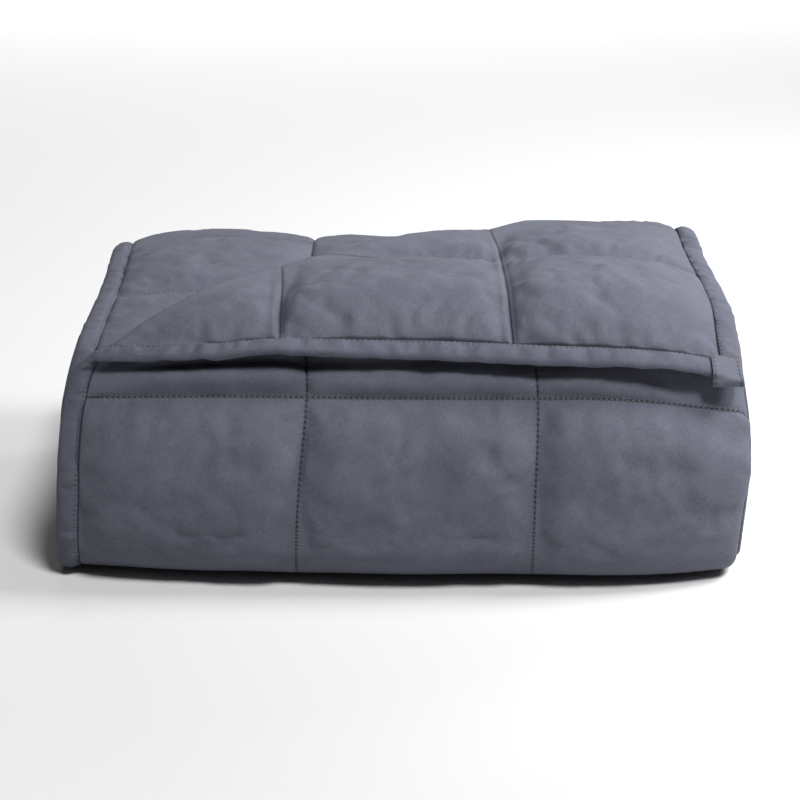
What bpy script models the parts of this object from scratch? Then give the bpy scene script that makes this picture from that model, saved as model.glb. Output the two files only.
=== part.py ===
"""Weighted blanket, quilted in square pockets, folded into a stack with its top corner turned over.

The blanket is worked out lying flat, in metres across it (u) and along it (v), and then folded:
u bends it in half lengthwise, with that fold at the right and both bound edges at the left, and
v runs along the double strip, which is folded back and forth into six layers.
"""
import math

import bmesh
import bpy
import numpy as np
from mathutils import Vector

# The blanket lying flat
HALF_WIDTH = 0.4572                  # 36 in across, half of it on each side of the lengthwise fold
LENGTH = 1.8288                      # 72 in
COLUMN_SEAMS = (0.145, 0.299)        # from the lengthwise fold, on each side of it
ROWS = 12
ROW_SEAMS = tuple(LENGTH / ROWS * row for row in range(1, ROWS))
BINDING_WIDTH = 0.0145
BINDING_HALF = 0.0028                # half the thickness of the bound edge
BINDING_RIM = (0.0030, 0.0014)       # how far in the edge is rounded, and half its thickness there
GAP = 0.0005                         # between pieces that touch
FOLD_X = 0.2195                      # the middle of the lengthwise fold's bend

# Filling: half thicknesses, outward from the middle of the cloth
SEAM_HALF = 0.0018
LOFT_HALF = 0.0072                   # at the middle of a pocket inside the stack
FREE_LOFT = 0.0030                   # what nothing presses on puffs up by this much more
CREASE_SQUASH, CREASE_WIDTH = 0.45, 0.014  # share of the filling pressed away along the diagonal
HAIRPIN_SQUASH, HAIRPIN_WIDTH = 0.35, 0.020  # and inside the lengthwise fold
TURN_EASE = 0.045                    # what is bared or turned over comes up over this length
DIP_START = 0.060
BOTTOM_PRESS = 0.0033                # the lowest pockets are pressed flat by this much
FLAP_LOFT = 0.64                     # of the loft, where the corner lies on the top
PUFF_POWER = 0.45                    # how steeply a pocket rises beside its seams
SEAM_DIP = 0.0030                    # the turned-over corner settles this much along its seams
BINDING_DIP = 0.0020                 # and along its edge

# Folding of the double strip, from the end that hangs over the back, forward over the top, down
# the front, and back and forth inside. apart is half the distance between the two layers of the
# strip, loft squashes the filling in a tight bend, and slip is the angle by which the outer
# layer has fallen behind the inner one, because it goes the longer way round the front.
FOLD_TABLE = (
    # section            length  turn  apart   loft  slip     (metres and degrees)
    ("hanging end",      0.0880,    0, 0.0062, 0.72,   0),
    ("back shoulder",    0.0540,   88, 0.0058, 0.72,   0),
    ("top",              0.2360,    2, 0.0055, 0.74,   0),
    ("front shoulder",   0.0567,   65, 0.0062, 0.76,  65),
    ("front face",       0.1100,   35, 0.0077, 1.00, 100),
    ("front foot",       0.0335,   80, 0.0077, 1.00, 180),
    ("bottom",           0.2520,    0, 0.0077, 1.00,  20),
    ("back foot",        0.0487,  180, 0.0077, 0.60,   0),
    ("second layer",     0.2005,    0, 0.0077, 1.00,   0),
    ("middle bend",      0.1460, -180, 0.0077, 1.00,   0),
    ("fifth layer",      0.1980,    0, 0.0077, 1.00,   0),
    ("inner back fold",  0.0487, -180, 0.0077, 0.60,   0),
    ("fourth layer",     0.2020,    0, 0.0077, 1.00,   0),
    ("inmost bend",      0.0480,  180, 0.0077, 0.60,   0),
    ("third layer",      0.1250,    0, 0.0077, 1.00,   0),
)
SHOULDER_START = sum(row[1] for row in FOLD_TABLE[:3])  # the flap goes the longer way round it
SHOULDER_BEND = math.radians(FOLD_TABLE[3][2]) / FOLD_TABLE[3][1]
START_HEADING = 90                   # degrees in the Y-Z plane: the hanging end points up
BEND_EASE = 0.012                    # a bend starts and ends over this length
PATH_STEP = 0.0002

# The corner turned over on the diagonal
TURN_START = 0.4400                  # where the diagonal meets the left edge, from the blanket's end
TURN_RADIUS = 0.0062
ROLL_RISE, ROLL_REACH = 0.006, 0.050  # towards the back the diagonal's roll stands higher
ROLL_PLACE, ROLL_LENGTH = 0.38, 0.12
FLAP_SLIDE = (0.005, 0.012)          # the flap has slid right, first at its pointed end, then at the other
SLIDE_LENGTH = 0.150
FLAP_FORWARD = ((0.012, -0.03, 0.10), (0.006, 0.13, 0.12))  # and forward: by how much, from where, over what
SLIDE_EASE = 0.120                   # the cloth before the diagonal gives way over this length
EDGE_LIFT, EDGE_LENGTH = 0.0060, 0.050  # its front edge is stiff and stands off by this much,
EDGE_RISES = ((0.0080, 0.128, 0.045), (0.0040, 0.433, 0.080))  # more at two places: height, place, width
BARE_LIFT = 0.004                    # the layer that the corner has bared rises by this much
BARE_START, BARE_END = 0.0, 0.060    # from the diagonal

# Settling of the whole stack
TOP_NARROWING = 0.055
TOP_SHIFT = 0.003                    # and the top leans this much to the right
SIDE_START, SIDE_END = 0.110, 0.226  # where the rounding of the sides starts and ends
FRONT_ROUNDING = 0.024
BACK_ROUNDING = 0.020
SIDE_DROOP = (0.040, 0.105)          # left and right
DROOP_LESS = 0.055                   # and less on the right at the back
BACK_SINK = 0.035                    # the stack is pressed down by this share under the flap's back
SINK_X, SINK_Y = (-0.04, 0.08), (0.16, 0.30)
STACK_HEIGHT = 0.170

# Where handling has pushed the stack out of true, over what reach, and by how much
HANDLING = (
    ("left shoulder",     (-0.20, 0.17, 0.18), (0.08, 0.14, 0.05), (0.0075, 0.0, -0.002)),
    ("top, front left",   (-0.17, 0.05, 0.165), (0.10, 0.05, 0.035), (0.0, 0.0, -0.003)),
    ("front, left",       (-0.24, 0.03, 0.12), (0.08, 0.08, 0.05), (-0.006, 0.0, 0.0)),
    ("seam, left",        (-0.13, 0.02, 0.115), (0.08, 0.05, 0.03), (0.0, 0.0, 0.003)),
    ("seam, right",       (0.21, 0.02, 0.12), (0.05, 0.05, 0.03), (0.0, 0.0, -0.003)),
    ("front, right",      (0.23, 0.03, 0.105), (0.10, 0.10, 0.04), (0.005, 0.0, 0.0)),
    ("right foot",        (0.20, 0.03, 0.015), (0.08, 0.10, 0.04), (-0.0075, -0.008, 0.0)),
    ("left foot",         (-0.15, 0.02, 0.01), (0.08, 0.08, 0.04), (0.0, 0.007, 0.0)),
    ("front, upper part", (0.0, 0.02, 0.135), (0.15, 0.05, 0.04), (0.004, 0.0, 0.0)),
    ("middle of the top", (0.05, 0.16, 0.18), (0.09, 0.08, 0.06), (0.0, 0.0, -0.002)),
    ("back, left corner", (-0.18, 0.32, 0.17), (0.07, 0.09, 0.05), (0.0, 0.0, 0.004)),
    ("back, left",        (-0.07, 0.33, 0.18), (0.10, 0.10, 0.05), (0.0, 0.0, -0.004)),
    ("back, middle",      (0.06, 0.31, 0.19), (0.09, 0.10, 0.05), (0.0, 0.0, -0.008)),
    ("back, right",       (0.20, 0.33, 0.17), (0.07, 0.10, 0.06), (0.004, 0.0, 0.003)),
)
FRONT_FACE_Y = 0.0165                # the double strip's foremost point, for a front face at 0

# The corner loop
LOOP_WIDTH = 0.0200
LOOP_SEWN = 0.0130                   # how much of the tape lies on the binding
LOOP_REACH = 0.0080                  # how far it reaches past the edge
LOOP_HALF = 0.0005                   # half the tape's thickness
LOOP_EYE = 0.0040                    # the tape's distance from the middle of the cloth
LOOP_INSET = 0.0010                  # from the blanket's corner
LOOP_EASE = 0.0040                   # past the edge it comes level over this length
LOOP_CUTS = 2                        # pieces in its width and in each sewn end
LOOP_ROUND = 6                       # pieces round its bend

CLOTH_COLOUR = (0.125, 0.130, 0.165, 1.0)
BINDING_COLOUR = (0.115, 0.120, 0.152, 1.0)
TAPE_COLOUR = (0.110, 0.114, 0.143, 1.0)


def smooth(value):
    """0 below 0, 1 above 1, and an S between."""
    t = np.clip(value, 0.0, 1.0)
    return t * t * (3.0 - 2.0 * t)


def fold_path():
    """The middle line of the double strip in the Y-Z plane, as a table along its length."""
    lengths = np.array([row[1] for row in FOLD_TABLE])
    ends = np.cumsum(lengths)
    turns = np.radians([row[2] for row in FOLD_TABLE])
    along = np.arange(-BEND_EASE, ends[-1] + 2 * BEND_EASE, PATH_STEP)
    section = np.clip(np.searchsorted(ends, along, side="right"), 0, len(ends) - 1)
    inside = (along > 0) & (along < ends[-1])
    bend = np.where(inside, turns[section] / lengths[section], 0.0)
    window = np.ones(int(BEND_EASE / PATH_STEP)) / int(BEND_EASE / PATH_STEP)
    bend = np.convolve(bend, window, mode="same")
    heading = math.radians(START_HEADING) + np.cumsum(bend) * PATH_STEP
    y = np.cumsum(np.cos(heading)) * PATH_STEP
    z = np.cumsum(np.sin(heading)) * PATH_STEP
    front = (along > ends[2]) & (along < ends[5])
    bottom = np.searchsorted(along, 0.5 * (ends[5] + ends[6]))
    y += FRONT_FACE_Y - y[front].min()
    z += FOLD_TABLE[6][3] + LOFT_HALF - BOTTOM_PRESS - z[bottom]
    middles = ends - 0.5 * lengths
    apart = np.interp(along, middles, [row[3] for row in FOLD_TABLE])
    loft = np.interp(along, middles, [row[4] for row in FOLD_TABLE])
    slip = np.radians(np.interp(along, ends, [row[5] for row in FOLD_TABLE]))
    return {"along": along, "heading": heading, "y": y, "z": z,
            "apart": apart, "loft": loft, "slip": slip}


PATH = fold_path()


def on_path(column, along):
    return np.interp(along, PATH["along"], PATH[column])


def layer_point(u, v, lift):
    """The point of the folded, untouched blanket at (u, v), lifted off its layer."""
    apart = on_path("apart", v)
    bend_half = 0.5 * math.pi * apart
    angle = np.clip(u / apart, -0.5 * math.pi, 0.5 * math.pi)
    straight = np.maximum(np.abs(u) - bend_half, 0.0)
    x = FOLD_X + (apart + lift) * np.cos(angle) - straight
    off = (apart + lift) * np.sin(angle)
    along = v - apart * np.sin(angle) * on_path("slip", v)
    heading = on_path("heading", along)
    y = on_path("y", along) + np.sin(heading) * off
    z = on_path("z", along) - np.cos(heading) * off
    return np.stack([x, y, z], axis=-1)


def settle(point):
    """The whole stack narrows upwards, and its corners and sides are rounded."""
    x, y, z = point[..., 0], point[..., 1], point[..., 2]
    side = np.clip((np.abs(x) - SIDE_START) / (SIDE_END - SIDE_START), 0.0, 1.3) ** 2
    y = y + FRONT_ROUNDING * side * (1.0 - smooth(y / 0.12))
    y = y - BACK_ROUNDING * side * smooth((y - 0.20) / 0.12)
    sink = smooth((x - SINK_X[0]) / (SINK_X[1] - SINK_X[0])) * smooth((y - SINK_Y[0]) / (SINK_Y[1] - SINK_Y[0]))
    right_droop = SIDE_DROOP[1] - DROOP_LESS * smooth((y - 0.10) / 0.20)
    z = z * (1.0 - np.where(x < 0.0, SIDE_DROOP[0], right_droop) * side - BACK_SINK * sink)
    x = x + (TOP_SHIFT - TOP_NARROWING * x) * smooth(z / STACK_HEIGHT)
    settled = np.stack([x, y, z], axis=-1)
    given = 0.0
    for _, where, reach, amount in HANDLING:
        away = (settled - where) / reach
        given = given + np.exp(-np.sum(away * away, axis=-1))[..., None] * np.array(amount)
    return settled + given


def cloth_middle(u, v):
    """Where the middle of the cloth at flat (u, v) lies once it is folded, before the stack settles."""
    from_left = HALF_WIDTH - u
    from_turn = TURN_START - v
    past = (from_turn - from_left) / math.sqrt(2.0)
    middle = (from_turn + from_left) / math.sqrt(2.0)
    start = -0.5 * math.pi * TURN_RADIUS
    angle = np.clip((past - start) / TURN_RADIUS, 0.0, math.pi)
    over = np.where(angle < math.pi, start + TURN_RADIUS * np.sin(angle), -past)
    turned = (u > 0) & (past > start)
    new_u = np.where(turned, HALF_WIDTH - (middle - over) / math.sqrt(2.0), u)
    new_v = np.where(turned, TURN_START - (middle + over) / math.sqrt(2.0), v)
    roll = np.exp(-((middle - ROLL_PLACE) / ROLL_LENGTH) ** 2 - (past / ROLL_REACH) ** 2)
    roll = 0.5 * ROLL_RISE * roll
    lift = np.where(turned, (TURN_RADIUS + roll) * (1.0 - np.cos(angle)), 0.0)
    edge = EDGE_LIFT + sum(rise * np.exp(-((from_turn - place) / width) ** 2) for rise, place, width in EDGE_RISES)
    edge = edge * np.clip(1.0 - from_left / EDGE_LENGTH, 0.0, 1.0) ** 2 * smooth(past / EDGE_LENGTH)
    bared = (from_turn - HALF_WIDTH - u) / math.sqrt(2.0)
    bared = BARE_LIFT * smooth((bared - BARE_START) / (BARE_END - BARE_START))
    share = smooth(past / SLIDE_EASE + 0.5) * smooth(u / SLIDE_LENGTH)
    far_end = smooth(0.5 * middle / SLIDE_LENGTH)
    forward = sum(amount * smooth((past - begin) / reach) for amount, begin, reach in FLAP_FORWARD)
    new_v = new_v + forward * smooth(u / SLIDE_EASE)
    edge = np.where(turned, edge, 0.0)
    round_front = np.maximum(new_v - SHOULDER_START, 0.0)
    new_v = new_v - round_front * (1.0 - 1.0 / (1.0 + SHOULDER_BEND * (lift + edge / 3.0)))
    point = layer_point(new_u, new_v, lift + edge - np.where(u > 0, 0.0, bared))
    point[..., 0] += (FLAP_SLIDE[0] + (FLAP_SLIDE[1] - FLAP_SLIDE[0]) * far_end) * share
    return point


def cloth_normal(u, v):
    """The unit normal of face A, the blanket's outer face; face B is the other one."""
    step = 0.0004
    along_u = cloth_middle(u + step, v) - cloth_middle(u - step, v)
    along_v = cloth_middle(u, v + step) - cloth_middle(u, v - step)
    normal = np.cross(along_u, along_v)
    return normal / np.linalg.norm(normal, axis=-1, keepdims=True)


def pocket_rise(value, seams):
    """0 on a seam and 1 midway between two."""
    edges = np.array(seams)
    cell = np.clip(np.searchsorted(edges, value, side="right") - 1, 0, len(edges) - 2)
    share = (value - edges[cell]) / (edges[cell + 1] - edges[cell])
    return np.sin(math.pi * np.clip(share, 0.0, 1.0)) ** PUFF_POWER


COLUMN_LINES = (-HALF_WIDTH + BINDING_WIDTH, *(-seam for seam in reversed(COLUMN_SEAMS)), 0.0,
                *COLUMN_SEAMS, HALF_WIDTH - BINDING_WIDTH)
ROW_LINES = (BINDING_WIDTH, *ROW_SEAMS, LENGTH - BINDING_WIDTH)


def past_diagonal(u, v):
    """The distance beyond the diagonal on which the corner turns over."""
    past = (TURN_START - v - HALF_WIDTH + u) / math.sqrt(2.0)
    return np.where(u > 0, past, -1.0)


def turned_over(u, v):
    """1 on the turned-over corner, and 0 from the diagonal on."""
    return smooth(past_diagonal(u, v) / TURN_EASE) * smooth((TURN_START - DIP_START - v) / TURN_EASE)


def place_face(u, v, offset):
    """The point of the settled stack at an offset from the middle of the cloth, towards face A."""
    point = settle(cloth_middle(u, v) + cloth_normal(u, v) * offset[..., None])
    point[..., 2] = np.maximum(point[..., 2], 0.0)
    return point


def cloth_face(u, v, face):
    """A point on face A (face is 1) or face B (face is -1) of the quilted cloth."""
    rise = pocket_rise(u, COLUMN_LINES) * pocket_rise(v, ROW_LINES)
    past = past_diagonal(u, v)
    turned = smooth(past / CREASE_WIDTH)
    loft = LOFT_HALF * (on_path("loft", v) * (1.0 - turned) + FLAP_LOFT * turned)
    loft = loft * (1.0 - CREASE_SQUASH * np.exp(-(past / CREASE_WIDTH) ** 2))
    if face < 0:
        loft = loft * (1.0 - HAIRPIN_SQUASH * np.exp(-(u / HAIRPIN_WIDTH) ** 2))
        bare_under = (u < 0) * smooth((TURN_START - v - HALF_WIDTH - u) / TURN_EASE)
        loft = loft + FREE_LOFT * np.maximum(smooth(past / TURN_EASE), bare_under)
    half = SEAM_HALF + (loft - SEAM_HALF) * rise
    return place_face(u, v, face * half + SEAM_DIP * (1.0 - rise) * turned_over(u, v))


def binding_face(u, v, face):
    """A point on the folded edge binding: thick where it is sewn, thinner at its rim."""
    inside = np.minimum(HALF_WIDTH - np.abs(u), np.minimum(v, LENGTH - v))
    half = BINDING_RIM[1] + (BINDING_HALF - BINDING_RIM[1]) * np.clip(inside / BINDING_RIM[0], 0.0, 1.0)
    return place_face(u, v, face * half + BINDING_DIP * turned_over(u, v))


# Where the flat sheets are cut before they are folded
POCKET_SHARES = (0.12, 0.50, 0.88)   # of each pocket's width and length
HAIRPIN_LINES = (-0.012, -0.008, -0.004, 0.004, 0.008, 0.012)  # round the lengthwise fold
BEND_DEGREES = 30                    # a bend is cut this often
DIAGONAL_CUTS = 5                    # segments round the turned-over diagonal
LINE_DISTANCE = 0.0055               # two lines stay this far apart
SNAP = 0.0005                        # a cut takes a corner nearer than this as it is


def spread(fixed, others):
    """The fixed lines, and those others that keep their distance from every line taken before."""
    lines = list(fixed)
    for value in others:
        if min(abs(value - line) for line in lines) > LINE_DISTANCE:
            lines.append(value)
    return sorted(lines)


def pocket_lines(seams):
    """Lines inside each pocket, at the named shares of it."""
    lines = []
    for share in POCKET_SHARES:
        for low, high in zip(seams, seams[1:]):
            lines.append(low + share * (high - low))
    return lines


def bend_lines():
    """Lines across the double strip, spread evenly over each of its bends."""
    lines = []
    start = 0.0
    for name, length, turn, apart, loft, slip in FOLD_TABLE:
        pieces = math.ceil(abs(turn) / BEND_DEGREES)
        if pieces > 1:
            lines += [start + length * piece / pieces for piece in range(pieces + 1)]
        start += length
    return [line for line in lines if 0.0 < line < LENGTH]


FLAP_BENDS = [HALF_WIDTH - TURN_START + line for line in bend_lines() if line < TURN_START]
U_LINES = spread(COLUMN_LINES, (*HAIRPIN_LINES, *FLAP_BENDS, *pocket_lines(COLUMN_LINES)))
V_LINES = spread(ROW_LINES, (*bend_lines(), *pocket_lines(ROW_LINES)))


def build_flat(left, right, start, end, columns, rows):
    """A flat sheet from left to right and from start to end, cut along its columns and rows."""
    sheet = bmesh.new()
    bmesh.ops.create_grid(sheet, x_segments=1, y_segments=1, size=0.5)
    for vert in sheet.verts:
        vert.co = Vector((left + (vert.co.x + 0.5) * (right - left), start + (vert.co.y + 0.5) * (end - start), 0.0))
    cuts = [(Vector((column, 0, 0)), Vector((1, 0, 0))) for column in columns if left < column < right]
    cuts += [(Vector((0, row, 0)), Vector((0, 1, 0))) for row in rows if start < row < end]
    for point, across in cuts:
        build_cut(sheet, point, across, sheet.faces)
    return sheet


def build_cut(sheet, point, across, faces):
    """Cuts the given faces of a flat sheet along the line through the point."""
    edges = {edge for face in faces for edge in face.edges}
    verts = {vert for face in faces for vert in face.verts}
    bmesh.ops.bisect_plane(sheet, geom=[*faces, *edges, *verts], dist=SNAP, plane_co=point, plane_no=across)


def build_diagonals(sheet):
    """Cuts the corner across the turned-over fold, so that the fold is round."""
    across = Vector((1.0, -1.0, 0.0)).normalized()
    meeting = Vector((HALF_WIDTH, TURN_START, 0.0))
    for cut in range(DIAGONAL_CUTS + 1):
        past = math.pi * TURN_RADIUS * (cut / DIAGONAL_CUTS - 0.5)
        faces = [face for face in sheet.faces if face.calc_center_median().x > 0.0]
        build_cut(sheet, meeting + across * past, across, faces)


def build_solid(name, sheet, place, colour, parts):
    """Doubles a flat sheet into one closed solid and puts both its faces where place says."""
    below = list(sheet.verts)
    made = bmesh.ops.extrude_face_region(sheet, geom=list(sheet.faces))
    above = [item for item in made["geom"] if isinstance(item, bmesh.types.BMVert)]
    for verts, face in ((below, -1), (above, 1)):
        flat = np.array([vert.co for vert in verts])
        for vert, point in zip(verts, place(flat[:, 0], flat[:, 1], face)):
            vert.co = Vector(point)
    bmesh.ops.triangulate(sheet, faces=list(sheet.faces))
    bmesh.ops.recalc_face_normals(sheet, faces=list(sheet.faces))
    mesh = bpy.data.meshes.new(name)
    sheet.to_mesh(mesh)
    sheet.free()
    solid = bpy.data.objects.new(name, mesh)
    material = bpy.data.materials.new(name)
    material.use_nodes = True
    shader = material.node_tree.nodes["Principled BSDF"]
    shader.inputs["Base Color"].default_value = colour
    shader.inputs["Roughness"].default_value = 0.85
    shader.inputs["Metallic"].default_value = 0.0
    mesh.materials.append(material)
    parts.objects.link(solid)
    return solid


def loop_face(s, t, face):
    """A point on the corner loop: s runs along the tape from end to end, t across it."""
    run = LOOP_SEWN + LOOP_REACH - LOOP_EYE
    turn = np.clip((s - run) / LOOP_EYE, 0.0, math.pi)
    back = np.maximum(s - run - math.pi * LOOP_EYE, 0.0)
    radius = LOOP_EYE + face * LOOP_HALF
    out = np.minimum(s, run) - LOOP_SEWN + radius * np.sin(turn) - back
    high = radius * np.cos(turn)
    inside = HALF_WIDTH + np.minimum(out, 0.0)
    sewn = place_face(inside, t, BINDING_DIP - high)
    centre = np.array([HALF_WIDTH])
    middle = np.array([LOOP_INSET + 0.5 * LOOP_WIDTH])
    edge = place_face(centre, middle, np.array([BINDING_DIP]))
    level = edge - place_face(centre, middle, np.array([BINDING_DIP + LOOP_EYE]))
    level[..., 0] = 0.0
    level = level / np.linalg.norm(level)
    sideways = np.array([1.0, 0.0, 0.0])
    away = np.cross(sideways, level)
    past = np.maximum(out, 0.0)[..., None]
    rigid = edge + (middle - t)[..., None] * sideways + level * high[..., None]
    free = smooth(out / LOOP_EASE)[..., None]
    return sewn + (rigid - sewn) * free + away * past


def build_quilt(parts):
    """The quilted cloth, inside its binding."""
    edge = BINDING_WIDTH + GAP
    sheet = build_flat(-HALF_WIDTH + edge, HALF_WIDTH - edge, edge, LENGTH - edge, U_LINES, V_LINES)
    build_diagonals(sheet)
    return build_solid("quilt", sheet, cloth_face, CLOTH_COLOUR, parts)


def build_binding(parts):
    """The binding: a folded strip all round the edge."""
    rim = BINDING_RIM[0]
    columns = (-HALF_WIDTH + rim, *U_LINES, HALF_WIDTH - rim)
    rows = (rim, *V_LINES, LENGTH - rim)
    sheet = build_flat(-HALF_WIDTH, HALF_WIDTH, 0.0, LENGTH, columns, rows)
    inner_u = HALF_WIDTH - BINDING_WIDTH
    inside = []
    for face in sheet.faces:
        centre = face.calc_center_median()
        if abs(centre.x) < inner_u and BINDING_WIDTH < centre.y < LENGTH - BINDING_WIDTH:
            inside.append(face)
    bmesh.ops.delete(sheet, geom=inside, context="FACES")
    build_diagonals(sheet)
    return build_solid("edge_binding", sheet, binding_face, BINDING_COLOUR, parts)


def build_loop(parts):
    """The tape loop at the corner that is turned over."""
    length = 2.0 * (LOOP_SEWN + LOOP_REACH - LOOP_EYE) + math.pi * LOOP_EYE
    run = LOOP_SEWN + LOOP_REACH - LOOP_EYE
    columns = [LOOP_SEWN * piece / LOOP_CUTS for piece in range(LOOP_CUTS + 1)]
    columns += [run + math.pi * LOOP_EYE * piece / LOOP_ROUND for piece in range(LOOP_ROUND + 1)]
    columns += [length - LOOP_SEWN * piece / LOOP_CUTS for piece in range(LOOP_CUTS + 1)]
    rows = [LOOP_INSET + LOOP_WIDTH * piece / LOOP_CUTS for piece in range(LOOP_CUTS + 1)]
    sheet = build_flat(0.0, length, LOOP_INSET, LOOP_INSET + LOOP_WIDTH, columns, rows)
    return build_solid("corner_loop", sheet, loop_face, TAPE_COLOUR, parts)


def build_frame(solids):
    """Puts the middle of the whole object's box at X = Y = 0 and its lowest point at Z = 0."""
    corners = np.array([vert.co for solid in solids for vert in solid.data.vertices])
    low = corners.min(axis=0)
    high = corners.max(axis=0)
    shift = Vector((-0.5 * (low[0] + high[0]), -0.5 * (low[1] + high[1]), -low[2]))
    for solid in solids:
        for vert in solid.data.vertices:
            vert.co += shift


def build_blanket():
    for item in list(bpy.data.objects):
        bpy.data.objects.remove(item, do_unlink=True)
    parts = bpy.data.collections.new("folded_weighted_blanket")
    bpy.context.scene.collection.children.link(parts)
    solids = [build_quilt(parts), build_binding(parts), build_loop(parts)]
    build_frame(solids)


build_blanket()
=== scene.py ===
"""A weighted blanket, quilted in square pockets and folded into a stack, as a visual model.

The cloth is worked out lying flat, in metres across it (u) and along it (v), and then folded.
"""
import math

import bmesh
import bpy
import numpy as np
from mathutils import Matrix, Vector


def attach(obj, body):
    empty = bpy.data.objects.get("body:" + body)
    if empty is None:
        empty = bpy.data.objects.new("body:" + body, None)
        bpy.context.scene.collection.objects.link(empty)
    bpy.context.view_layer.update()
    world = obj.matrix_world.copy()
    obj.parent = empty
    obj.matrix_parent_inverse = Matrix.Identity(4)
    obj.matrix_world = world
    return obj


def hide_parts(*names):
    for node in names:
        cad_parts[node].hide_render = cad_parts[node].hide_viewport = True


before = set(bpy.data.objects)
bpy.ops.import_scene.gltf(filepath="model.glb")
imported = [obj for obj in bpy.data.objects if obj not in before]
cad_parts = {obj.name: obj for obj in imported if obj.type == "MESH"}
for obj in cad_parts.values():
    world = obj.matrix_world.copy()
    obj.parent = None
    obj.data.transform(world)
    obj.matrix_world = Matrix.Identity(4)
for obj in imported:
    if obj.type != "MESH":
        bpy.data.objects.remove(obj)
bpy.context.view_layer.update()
scene = bpy.context.scene
ROOT_2 = math.sqrt(2.0)

FRAME_SHIFT = (-0.001517, -0.185932, 0.0)  # from the zero of the fold to the middle of the stack

# The blanket lying flat
HALF_WIDTH = 0.4572  # 36 in across, half on each side of the lengthwise fold
LENGTH = 1.8288  # 72 in
COLUMN_SEAMS = (0.145, 0.299)  # on each side of the lengthwise fold
ROWS = 12
ROW_SEAMS = tuple(LENGTH / ROWS * row for row in range(1, ROWS))
BINDING_WIDTH = 0.0145
BINDING_HALF = 0.0028  # half the thickness of the bound edge
RIM_REACH, RIM_HALF = 0.003, 0.0006  # how far in the edge is rounded, and half its thickness there
FOLD_X = 0.2195  # the middle of the lengthwise fold's bend

# Filling: half thicknesses, outward from the middle of the cloth
SEAM_HALF = 0.0018
LOFT_HALF = 0.0072  # at the middle of a pocket inside the stack
FREE_LOFT = 0.003  # more, where nothing presses on it
CREASE_SQUASH, CREASE_WIDTH = 0.45, 0.014  # share pressed away along the diagonal
HAIRPIN_SQUASH, HAIRPIN_WIDTH = 0.35, 0.02  # and inside the lengthwise fold
TURN_EASE = 0.045  # what is turned over comes up over this
BARE_EASE = TURN_EASE / ROOT_2  # and what is bared over this
DIP_START = 0.06  # from the diagonal
BOTTOM_PRESS = 0.0033  # the lowest pockets are pressed flat by this much
FLAP_LOFT = 0.64  # of the loft, where the corner lies on the top
PUFF_POWER = 0.45  # how steeply a pocket rises beside its seams
SEAM_DIP = 0.003  # the corner settles this much along its seams
BINDING_DIP = 0.002  # and along its edge

# Folding of the double strip, from the end that hangs over the back, forward over the top, down
# the front, and back and forth inside. apart is half the distance between the strip's layers,
# loft squashes the filling in a tight bend, and slip is the angle by which the outer layer has
# fallen behind the inner one.
FOLD_TABLE = (
    # section            length  turn  apart   loft  slip     (metres and degrees)
    ("hanging end",      0.0880,    0, 0.0062, 0.72,   0),
    ("back shoulder",    0.0540,   88, 0.0058, 0.72,   0),
    ("top",              0.2360,    2, 0.0055, 0.74,   0),
    ("front shoulder",   0.0567,   65, 0.0062, 0.76,  65),
    ("front face",       0.1100,   35, 0.0077, 1.00, 100),
    ("front foot",       0.0335,   80, 0.0077, 1.00, 180),
    ("bottom",           0.2520,    0, 0.0077, 1.00,  20),
    ("back foot",        0.0487,  180, 0.0077, 0.60,   0),
    ("second layer",     0.2005,    0, 0.0077, 1.00,   0),
    ("middle bend",      0.1460, -180, 0.0077, 1.00,   0),
    ("fifth layer",      0.1980,    0, 0.0077, 1.00,   0),
    ("inner back fold",  0.0487, -180, 0.0077, 0.60,   0),
    ("fourth layer",     0.2020,    0, 0.0077, 1.00,   0),
    ("inmost bend",      0.0480,  180, 0.0077, 0.60,   0),
    ("third layer",      0.1250,    0, 0.0077, 1.00,   0),
)
_, LENGTHS, TURNS, APARTS, LOFTS, SLIPS = zip(*FOLD_TABLE)
TOP, SHOULDER, FOOT, BOTTOM = 2, 3, 5, 6  # rows of the table
SHOULDER_START = sum(LENGTHS[:SHOULDER])  # the flap goes further round it
SHOULDER_BEND = math.radians(TURNS[SHOULDER]) / LENGTHS[SHOULDER]
START_HEADING = 90  # degrees in the Y-Z plane: the hanging end points up
BEND_EASE = 0.012  # a bend starts and ends over this length
PATH_STEP, NORMAL_STEP = 0.0002, 0.0004

# The corner turned over on the diagonal
TURN_START = 0.44  # where the diagonal meets the left edge, from the end
TURN_RADIUS = 0.0062
ROLL_RISE, ROLL_REACH = 0.003, 0.05  # towards the back the diagonal's roll stands higher
ROLL_PLACE, ROLL_LENGTH = 0.38, 0.12
FLAP_SLIDE = (0.005, 0.012)  # the flap has slid right: at its pointed end and at the other
SLIDE_LENGTH = 0.15
FLAP_FORWARD = ((0.012, -0.03, 0.1), (0.006, 0.13, 0.12))  # and forward: by how much, from, over
SLIDE_EASE = 0.12  # the cloth before the diagonal gives way over this
EDGE_LIFT, EDGE_LENGTH = 0.006, 0.05  # its stiff front edge stands off by this much, and
EDGE_RISES = ((0.008, 0.128, 0.045), (0.004, 0.433, 0.08))  # more here: height, place, width
EDGE_PATH = 1.0 / 3.0  # this share of that makes the way round the shoulder longer
BARE_LIFT = 0.004  # the layer below it rises by this much
BARE_LENGTH = 0.06  # from the diagonal

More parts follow.
